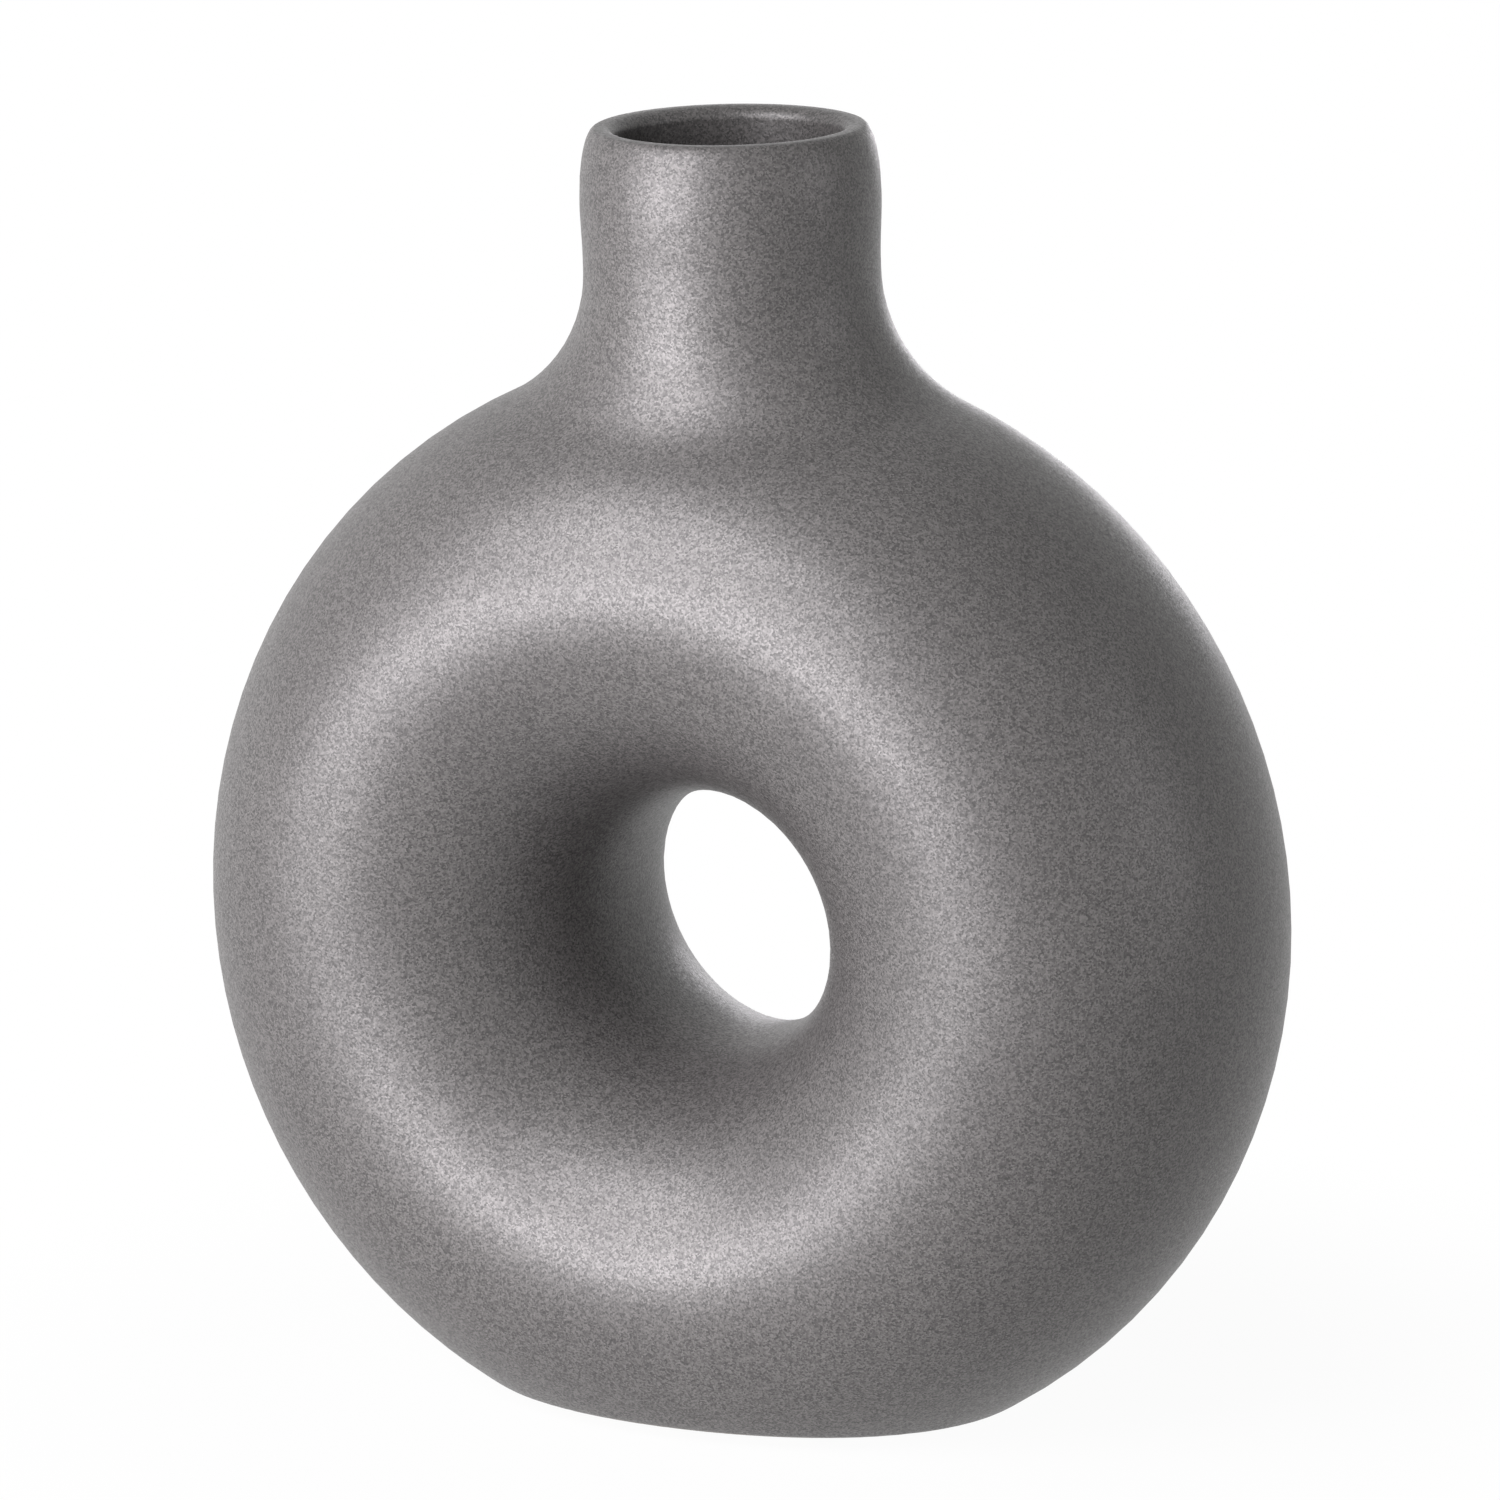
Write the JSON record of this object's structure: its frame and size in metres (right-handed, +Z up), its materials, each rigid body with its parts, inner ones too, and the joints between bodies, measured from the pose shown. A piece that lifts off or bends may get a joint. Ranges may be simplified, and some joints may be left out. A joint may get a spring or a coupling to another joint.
{
  "type": "donut vase",
  "caption": "Ring-shaped stoneware vase that stands on a flattened foot, with a round through hole, a short open neck and a rounded lip.",
  "frame": {"origin": "on the table at the underside of the foot pads, straight under the middle of the mouth and of the ring", "axes": "+Z up through the mouth; the through hole runs along Y and the front looks along -Y; +X to the right seen from the front"},
  "size_m": [0.175, 0.08, 0.2],
  "materials": {
    "stoneware": "bare fired clay",
    "matt_metallic_glaze": "matt metallic grey glaze with a fine grain",
    "liner_glaze": "satin dark grey glaze",
    "felt": "pressed felt"
  },
  "bodies": {
    "root": {"stoneware_body": "stoneware", "outer_glaze": "matt_metallic_glaze", "liner_glaze": "liner_glaze", "foot_pad_front_left": "felt", "foot_pad_front_right": "felt", "foot_pad_rear_left": "felt", "foot_pad_rear_right": "felt"}
  },
  "joints": []
}
